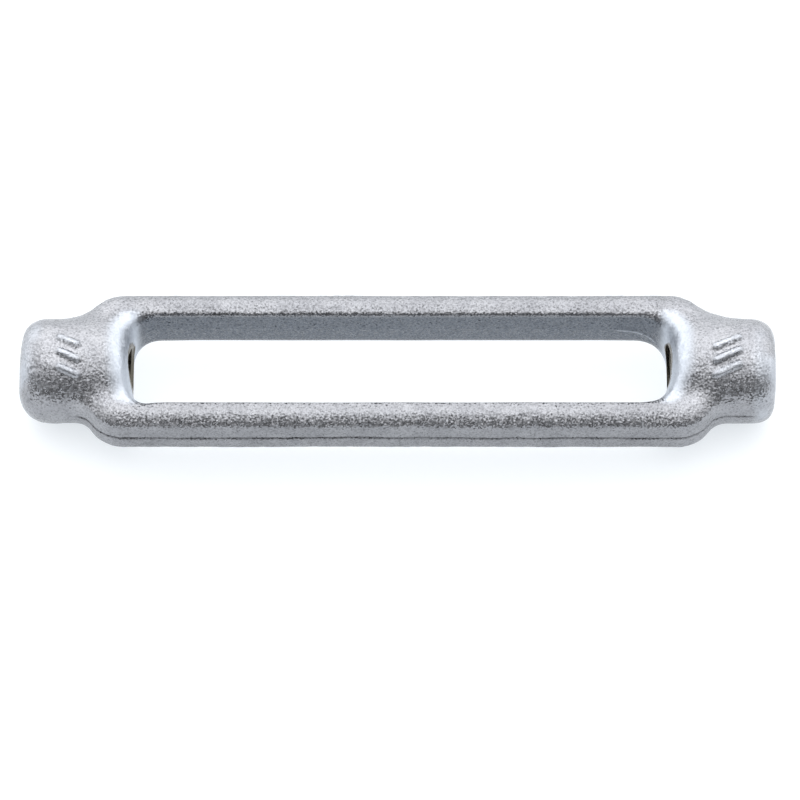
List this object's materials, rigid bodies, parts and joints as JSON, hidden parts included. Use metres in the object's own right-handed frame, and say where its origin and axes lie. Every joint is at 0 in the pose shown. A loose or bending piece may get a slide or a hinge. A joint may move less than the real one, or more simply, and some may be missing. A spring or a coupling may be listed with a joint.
{
  "type": "turnbuckle body",
  "caption": "Open forged turnbuckle body with a long window between two round bosses, threaded right hand at one end and left hand at the other.",
  "frame": {"origin": "centre of the body, on the axis of the two threaded bores", "axes": "+X along the bores from the right-hand threaded end to the left-hand threaded end, +Y across the window, +Z out of the window on the side with the raised ribs"},
  "size_m": [0.11, 0.0228, 0.0158],
  "materials": {
    "zinc_plated_steel": "drop-forged steel, shot blasted and bright zinc plated, finely grained, silver with a faint blue tint"
  },
  "bodies": {
    "root": {"turnbuckle_body": "zinc_plated_steel"}
  },
  "joints": []
}
